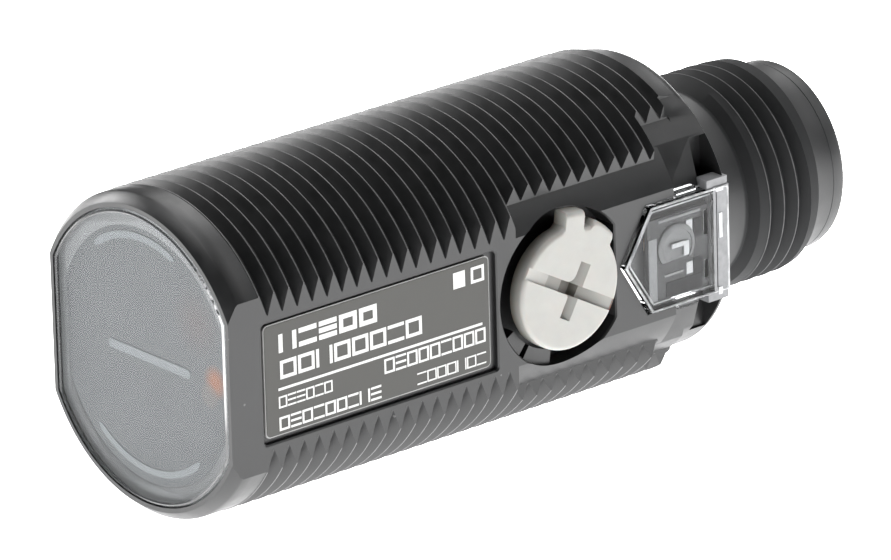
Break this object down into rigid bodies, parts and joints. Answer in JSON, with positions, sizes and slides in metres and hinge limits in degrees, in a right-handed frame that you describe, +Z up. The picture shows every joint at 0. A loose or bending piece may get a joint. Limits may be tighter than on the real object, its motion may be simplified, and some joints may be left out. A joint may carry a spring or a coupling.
{
  "type": "photoelectric sensor",
  "caption": "Threaded cylindrical photoelectric sensor with side flats, a sensitivity adjuster, an indicator window and a plug-in connector.",
  "frame": {"origin": "centre of the sensing face", "axes": "+X along the barrel from the sensing face to the connector, -Y out of the flat that holds the label and the adjuster, +Z up"},
  "size_m": [0.0445, 0.0153, 0.0178],
  "materials": {
    "housing": "moulded black plastic, fine satin grain",
    "lens_cover": "grey translucent acrylic, polished",
    "lens_seal": "soft black gasket",
    "emitter_lens": "clear moulded lens",
    "receiver_lens": "clear moulded lens",
    "light_partition": "light grey plastic",
    "optics_holder": "black plastic",
    "optics_board": "green solder resist",
    "emitter_led": "red tinted epoxy",
    "receiver_photodiode": "dark epoxy",
    "receiver_shield_can": "tinned sheet",
    "sensitivity_knob": "ivory plastic, satin",
    "knob_seal": "black O-ring",
    "trimmer_case": "blue plastic",
    "trimmer_rotor": "white plastic",
    "rating_label": "dark grey foil with a satin coat",
    "indicator_window": "clear polycarbonate, polished",
    "operation_led": "orange epoxy",
    "stability_led": "green epoxy",
    "main_board": "green solder resist",
    "chip_packages": "black epoxy package",
    "chip_capacitors": "tan ceramic",
    "chip_resistors": "black ceramic",
    "board_link": "gilded pins",
    "connector_body": "moulded black plastic, satin",
    "connector_seal": "black O-ring",
    "pin_carrier": "black plastic",
    "contact_pins": "gilded brass",
    "lead_wires": "tinned strip"
  },
  "bodies": {
    "sensor": {"housing": "housing", "lens_cover": "lens_cover", "lens_seal": "lens_seal", "emitter_lens": "emitter_lens", "receiver_lens": "receiver_lens", "light_partition": "light_partition", "optics_holder": "optics_holder", "optics_board": "optics_board", "emitter_led": "emitter_led", "receiver_photodiode": "receiver_photodiode", "receiver_shield_can": "receiver_shield_can", "knob_seal": "knob_seal", "trimmer_case": "trimmer_case", "rating_label": "rating_label", "indicator_window": "indicator_window", "operation_led": "operation_led", "stability_led": "stability_led", "main_board": "main_board", "board_link": "board_link", "connector_body": "connector_body", "connector_seal": "connector_seal", "pin_carrier": "pin_carrier", "control_ic": "chip_packages", "output_transistor": "chip_packages", "protection_diode": "chip_packages", "chip_capacitor_1": "chip_capacitors", "chip_resistor_1": "chip_resistors", "contact_pin_1": "contact_pins", "lead_wire_1": "lead_wires", "chip_capacitor_2": "chip_capacitors", "chip_resistor_2": "chip_resistors", "contact_pin_2": "contact_pins", "lead_wire_2": "lead_wires", "chip_capacitor_3": "chip_capacitors", "chip_resistor_3": "chip_resistors", "contact_pin_3": "contact_pins", "lead_wire_3": "lead_wires", "chip_capacitor_4": "chip_capacitors", "chip_resistor_4": "chip_resistors", "contact_pin_4": "contact_pins", "lead_wire_4": "lead_wires"},
    "adjuster": {"sensitivity_knob": "sensitivity_knob", "trimmer_rotor": "trimmer_rotor"}
  },
  "joints": [
    {"name": "adjuster_turn", "type": "hinge", "parent": "sensor", "child": "adjuster", "pos_m": [0.02267, -0.00792, 0], "axis": [0, -1, 0], "range_deg": [-4, 226]}
  ]
}
